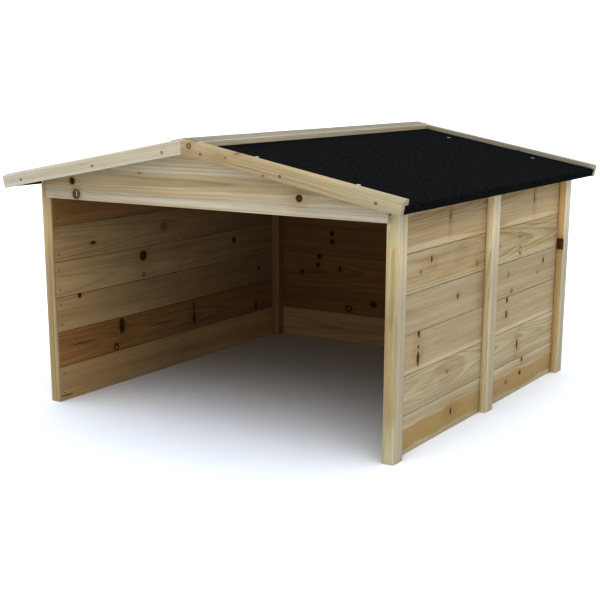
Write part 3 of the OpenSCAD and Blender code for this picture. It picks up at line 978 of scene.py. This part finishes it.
def smooth_noise(rng, shape, cells):
    """Smooth value noise on a grid, from -1 to 1."""
    rows, cols = cells
    table = rng.uniform(-1, 1, (rows + 2, cols + 2))
    y = np.linspace(0, rows, shape[0])
    x = np.linspace(0, cols, shape[1])
    yi, xi = y.astype(int), x.astype(int)
    fy, fx = (y - yi)[:, None], (x - xi)[None, :]
    fy, fx = fy * fy * (3 - 2 * fy), fx * fx * (3 - 2 * fx)
    a, b = table[np.ix_(yi, xi)], table[np.ix_(yi, xi + 1)]
    c, d = table[np.ix_(yi + 1, xi)], table[np.ix_(yi + 1, xi + 1)]
    return (a * (1 - fx) + b * fx) * (1 - fy) + (c * (1 - fx) + d * fx) * fy


def felt_path():
    """The felt's top from the peak to its lower edge: (distance down, depth, and the unit normal)."""
    flat_end = FELT_U - FELT_FOLD
    path = [(u, FELT_N, 0.0, -1.0) for u in np.linspace(0, flat_end, int(flat_end / FELT_STEP) + 1)]
    for t in np.linspace(0, math.pi / 2, 7)[1:]:
        s, c = math.sin(t), math.cos(t)
        path.append((flat_end + FELT_FOLD * s, FELT_N + FELT_FOLD * (1 - c), s, -c))
    for depth in np.linspace(FELT_N + FELT_FOLD, FELT_LOW_N, 5)[1:]:
        path.append((FELT_U, depth, 1.0, 0.0))
    return np.array(path)


def make_felt():
    mat = felt_material()
    path = felt_path()
    run = np.concatenate([[0], np.cumsum(np.linalg.norm(np.diff(path[:, :2], axis=0), axis=1))])
    over_joint = np.abs((path[:, 0] / (DECK_U / BOARDS)) % 1.0 - 0.5) > JOINT_FROM
    for s, side in enumerate(("left", "right")):
        node = f"{side}_roof_felt"
        lo, hi = box(node)
        down, into = slope_axes(side)
        ys = np.linspace(lo[1], hi[1], int((hi[1] - lo[1]) / FELT_STEP) + 1)
        rows, cols = len(ys), len(path)
        rng = np.random.default_rng(SEED["felt"] + s)
        grain = rng.uniform(-1, 1, (rows, cols)) * FELT_ROUGH
        wave = smooth_noise(rng, (rows, cols), FELT_CELLS) * FELT_WAVE
        rise = grain + wave - FELT_SINK - over_joint[None, :] * JOINT_DIP

        top, bottom, lane = [], [], []
        for k, y in enumerate(ys):
            peak = np.array((0, y, PEAK_Z))
            for j, (u, n, nu, nn) in enumerate(path):
                h = rise[k, j]
                under = FELT_T + min(h, 0.0)
                inner = n - nn * under
                # the first points are on the upright plane where the two halves meet
                cut, inner_cut = (n * TN, inner * TN) if j == 0 else (0.0, 0.0)
                top.append(peak + (u + cut + nu * h) * down + (n + nn * h) * into)
                bottom.append(peak + (u + inner_cut - nu * under) * down + inner * into)
                lane.append((y - lo[1], run[j], 0.0))
        count = rows * cols
        faces = []
        for k in range(rows - 1):
            for j in range(cols - 1):
                a = k * cols + j
                faces.append((a, a + 1, a + 1 + cols, a + cols))
                faces.append((count + a, count + a + cols, count + a + cols + 1, count + a + 1))
        grid = np.arange(count).reshape(rows, cols)
        rim = [int(v) for v in (*grid[0], *grid[1:, -1], *grid[-1, -2::-1], *grid[-2:0:-1, 0])]
        for a, b in zip(rim, rim[1:] + rim[:1]):
            faces.append((a, b, b + count, a + count))
        obj = make_object(f"{node}_sheet", top + bottom, faces, mat, node, lane + lane, sharp=50.0)


make_felt()


# -------- nails and screws
# (radius, depth) in mm, from the middle of the head to the tip, and how far a crosshead stands out
NAIL = [(0, -0.22), (0.7, -0.24), (1.3, -0.18), (1.8, -0.02), (2.0, 0.25), (1.9, 0.6), (0.9, 0.8),
        (0.9, 17.0), (0.3, 20.0), (0, 20.0)]
SCREW = [(0, 0.9), (0.5, 0.75), (1.0, 0.35), (1.5, 0.03), (2.1, 0.0), (2.4, 0.08), (2.5, 0.35),
         (1.5, 2.5), (1.5, 24.0), (0.4, 26.0), (0, 26.0)]
CLOUT = [(0, -0.05), (1.4, 0.0), (2.6, 0.08), (3.5, 0.22), (3.95, 0.42), (4.0, 0.6), (3.8, 0.8),
         (1.2, 0.95), (1.2, 16.0), (0.4, 18.0), (0, 18.0)]
PROUD = 0.2
CROSS_REACH = 2.0 * MM
CROSS_DEPTH = 1.3 * MM
SEGMENTS = 20

NAIL_INSET = 15 * MM
NAIL_HEIGHTS = (15 * MM, 55 * MM)
BATTEN_NAIL_INSET = 5 * MM
RAIL_NAIL = (10 * MM, 10 * MM)
TOP_NAIL = 15 * MM
CORNER_SCREWS = (107 * MM, 320 * MM)
GABLE_SCREWS = (60 * MM, 180 * MM, 300 * MM)
BARGE_SCREWS = (45 * MM, 207 * MM, 388 * MM)
BARGE_SCREW_N = 16.5 * MM
FELT_NAILS = (112 * MM, 315 * MM)
FELT_NAIL_N = FELT_N - 0.8 * MM


def metal(name, colour, rust, rough, metallic=0.85):
    """Dull metal with spangle, scratches and a little corrosion."""
    mat, n, bsdf = new_material(name)
    where = n.add("ShaderNodeTexCoord").outputs["Object"]
    patch = n.noise(where, (900, 900, 900), 3.0, 0.6)
    fine = n.noise(where, (4200, 4200, 4200))
    darker = tuple(v * 0.62 for v in colour)
    tone = n.mix(n.step(patch, 0.35, 0.70), (*colour, 1.0), (*darker, 1.0))
    tone = n.mix(n.times(n.step(fine, 0.58, 0.72), 0.5), tone, (*rust, 1.0))
    n.put(bsdf.inputs["Base Color"], tone)
    bsdf.inputs["Metallic"].default_value = metallic
    n.put(bsdf.inputs["Roughness"], n.math("MULTIPLY_ADD", patch, 0.3, rough))
    n.bump(bsdf, fine, 0.3, 0.1 * MM)
    return mat


def fixing(verts, faces, place, axis, profile, proud, crosshead):
    """Adds one nail or screw. axis points into the wood, and the head stands proud by that much."""
    axis = Vector(axis).normalized()
    side = axis.orthogonal().normalized()
    other = axis.cross(side)
    place = Vector(place)
    start = len(verts)
    radii = [r * MM for r, _ in profile]
    depths = [(d - proud) * MM for _, d in profile]
    verts.append(tuple(place + axis * depths[0]))
    for radius, depth in zip(radii[1:-1], depths[1:-1]):
        for k in range(SEGMENTS):
            t = 2 * math.pi * k / SEGMENTS
            sink = 0.0
            if crosshead:
                reach = CROSS_REACH * max(abs(math.cos(2 * t)) ** 3, 0.01)
                sink = CROSS_DEPTH * max(1 - radius / reach, 0.0)
            at = place + axis * (depth + sink) + (side * math.cos(t) + other * math.sin(t)) * radius
            verts.append(tuple(at))
    verts.append(tuple(place + axis * depths[-1]))
    rings = len(profile) - 2
    first, last = start + 1, len(verts) - 1
    end = first + (rings - 1) * SEGMENTS
    for k in range(SEGMENTS):
        after = (k + 1) % SEGMENTS
        faces.append((start, first + after, first + k))
        faces.append((last, end + k, end + after))
        for ring in range(first, end, SEGMENTS):
            faces.append((ring + k, ring + after, ring + after + SEGMENTS, ring + k + SEGMENTS))


def metal_piece(node, mat, spots, profile, proud=0.0, crosshead=False):
    verts, faces = [], []
    for place, axis in spots:
        fixing(verts, faces, place, axis, profile, proud, crosshead)
    make_object(f"{node}_metal", verts, faces, mat, node, sharp=40.0)


def roof_spot(sign, u, n, y):
    """A place on one half of the roof: u down its slope from the peak, and n below its top plane."""
    return (sign * (u * CS - n * SN), y, PEAK_Z - u * SN - n * CS)


def make_fixings():
    zinc = metal("galvanised", (0.50, 0.50, 0.50), (0.16, 0.13, 0.10), 0.38)
    dull = metal("dull_zinc", (0.20, 0.18, 0.15), (0.07, 0.045, 0.03), 0.42)
    dark = metal("dark_steel", (0.34, 0.26, 0.18), (0.19, 0.13, 0.08), 0.60, 0.3)
    bright = metal("bright_zinc", (0.74, 0.74, 0.74), (0.40, 0.38, 0.36), 0.45)

    middle_lo, middle_hi = box("right_middle_post")
    posts = (box("right_front_post")[0][1] + NAIL_INSET, (middle_lo[1] + middle_hi[1]) / 2,
             box("right_rear_post")[1][1] - NAIL_INSET)
    back_lo, back_hi = box("rear_wall_board_1")
    batten_lo, batten_hi = box("right_corner_batten")
    rail_x = box("right_eaves_rail")[0][0] + RAIL_NAIL[0]
    heights = [i * BOARD_H + dz for i in range(BOARDS) for dz in NAIL_HEIGHTS]
    spots = []
    for sign in (-1, 1):
        spots += [((sign * WALL_LO[0], y, z), (sign, 0, 0)) for y in posts for z in heights]
        spots += [((sign * (batten_hi[0] - BATTEN_NAIL_INSET), back_hi[1], z), (0, -1, 0)) for z in heights]
        spots.append(((sign * rail_x, back_hi[1], WALL_H + RAIL_NAIL[1]), (0, -1, 0)))
    spots += [((0, back_lo[1], z), (0, 1, 0)) for z in [*heights, WALL_H + TOP_NAIL]]
    metal_piece("wall_nails", dark, spots, NAIL)

    batten_x = (batten_lo[0] + batten_hi[0]) / 2
    spots = [((sign * batten_x, batten_lo[1], z), (0, 1, 0)) for sign in (-1, 1) for z in CORNER_SCREWS]
    metal_piece("corner_screws", dull, spots, SCREW, PROUD, crosshead=True)

    rafter_back = box("right_front_rafter")[1][1]
    rafter_mid_n = (RAFTER_N + RAFTER_LOW_N) / 2
    spots = [(roof_spot(sign, u, rafter_mid_n, rafter_back), (0, -1, 0))
             for sign in (-1, 1) for u in GABLE_SCREWS]
    metal_piece("gable_screws", zinc, spots, SCREW, PROUD, crosshead=True)

    faces = ((box("right_front_barge_board")[0][1], 1), (box("right_rear_barge_board")[1][1], -1))
    spots = [(roof_spot(sign, u, BARGE_SCREW_N, y), (0, axis, 0))
             for sign in (-1, 1) for u in BARGE_SCREWS for y, axis in faces]
    metal_piece("barge_screws", dull, spots, SCREW, crosshead=True)

    rafters = [box(f"right_{end}_rafter") for end in ("front", "rear")]
    spots = [(roof_spot(sign, u, FELT_NAIL_N, (lo[1] + hi[1]) / 2), (-sign * SN, 0, -CS))
             for sign in (-1, 1) for u in FELT_NAILS for lo, hi in rafters]
    metal_piece("felt_nails", bright, spots, CLOUT)


make_fixings()


# -------- floor and light
FLOOR_HALF = 14.0
FLOOR_DARK = (0.785, 0.82, 0.885, 1.0)
FLOOR_LIGHT = (0.805, 0.84, 0.905, 1.0)
# name, strength, angle in degrees, and where the light comes from
SUNS = (
    ("softbox", 0.9, 50, (0.45, -0.9, 1.6)),
    ("low_fill", 0.15, 36, (0.25, -0.95, 0.36)),
)
EXPOSURE = 0.31
GAMMA = 0.571


def make_stage():
    mesh = bpy.data.meshes.new("floor")
    bm = bmesh.new()
    bmesh.ops.create_grid(bm, x_segments=8, y_segments=8, size=FLOOR_HALF)
    bm.to_mesh(mesh)
    bm.free()
    floor = bpy.data.objects.new("floor", mesh)
    SCENE.collection.objects.link(floor)
    mat, n, bsdf = new_material("pale_floor")
    where = n.add("ShaderNodeTexCoord").outputs["Object"]
    n.put(bsdf.inputs["Base Color"], n.mix(n.noise(where, (3, 3, 3)), FLOOR_DARK, FLOOR_LIGHT))
    bsdf.inputs["Roughness"].default_value = 0.9
    bsdf.inputs["Specular IOR Level"].default_value = 0.1
    mesh.materials.append(mat)

    world = bpy.data.worlds.new("studio")
    world.use_nodes = True
    sky = world.node_tree.nodes["Background"]
    sky.inputs["Color"].default_value = (1.0, 1.0, 1.0, 1.0)
    sky.inputs["Strength"].default_value = 1.0
    SCENE.world = world
    for name, strength, angle, place in SUNS:
        data = bpy.data.lights.new(name, "SUN")
        data.energy = strength
        data.angle = math.radians(angle)
        lamp = bpy.data.objects.new(name, data)
        lamp.rotation_euler = (-Vector(place)).to_track_quat("-Z", "Y").to_euler()
        SCENE.collection.objects.link(lamp)
    SCENE.view_settings.view_transform = "Standard"
    SCENE.view_settings.look = "None"
    SCENE.view_settings.exposure = EXPOSURE
    SCENE.view_settings.gamma = GAMMA


make_stage()
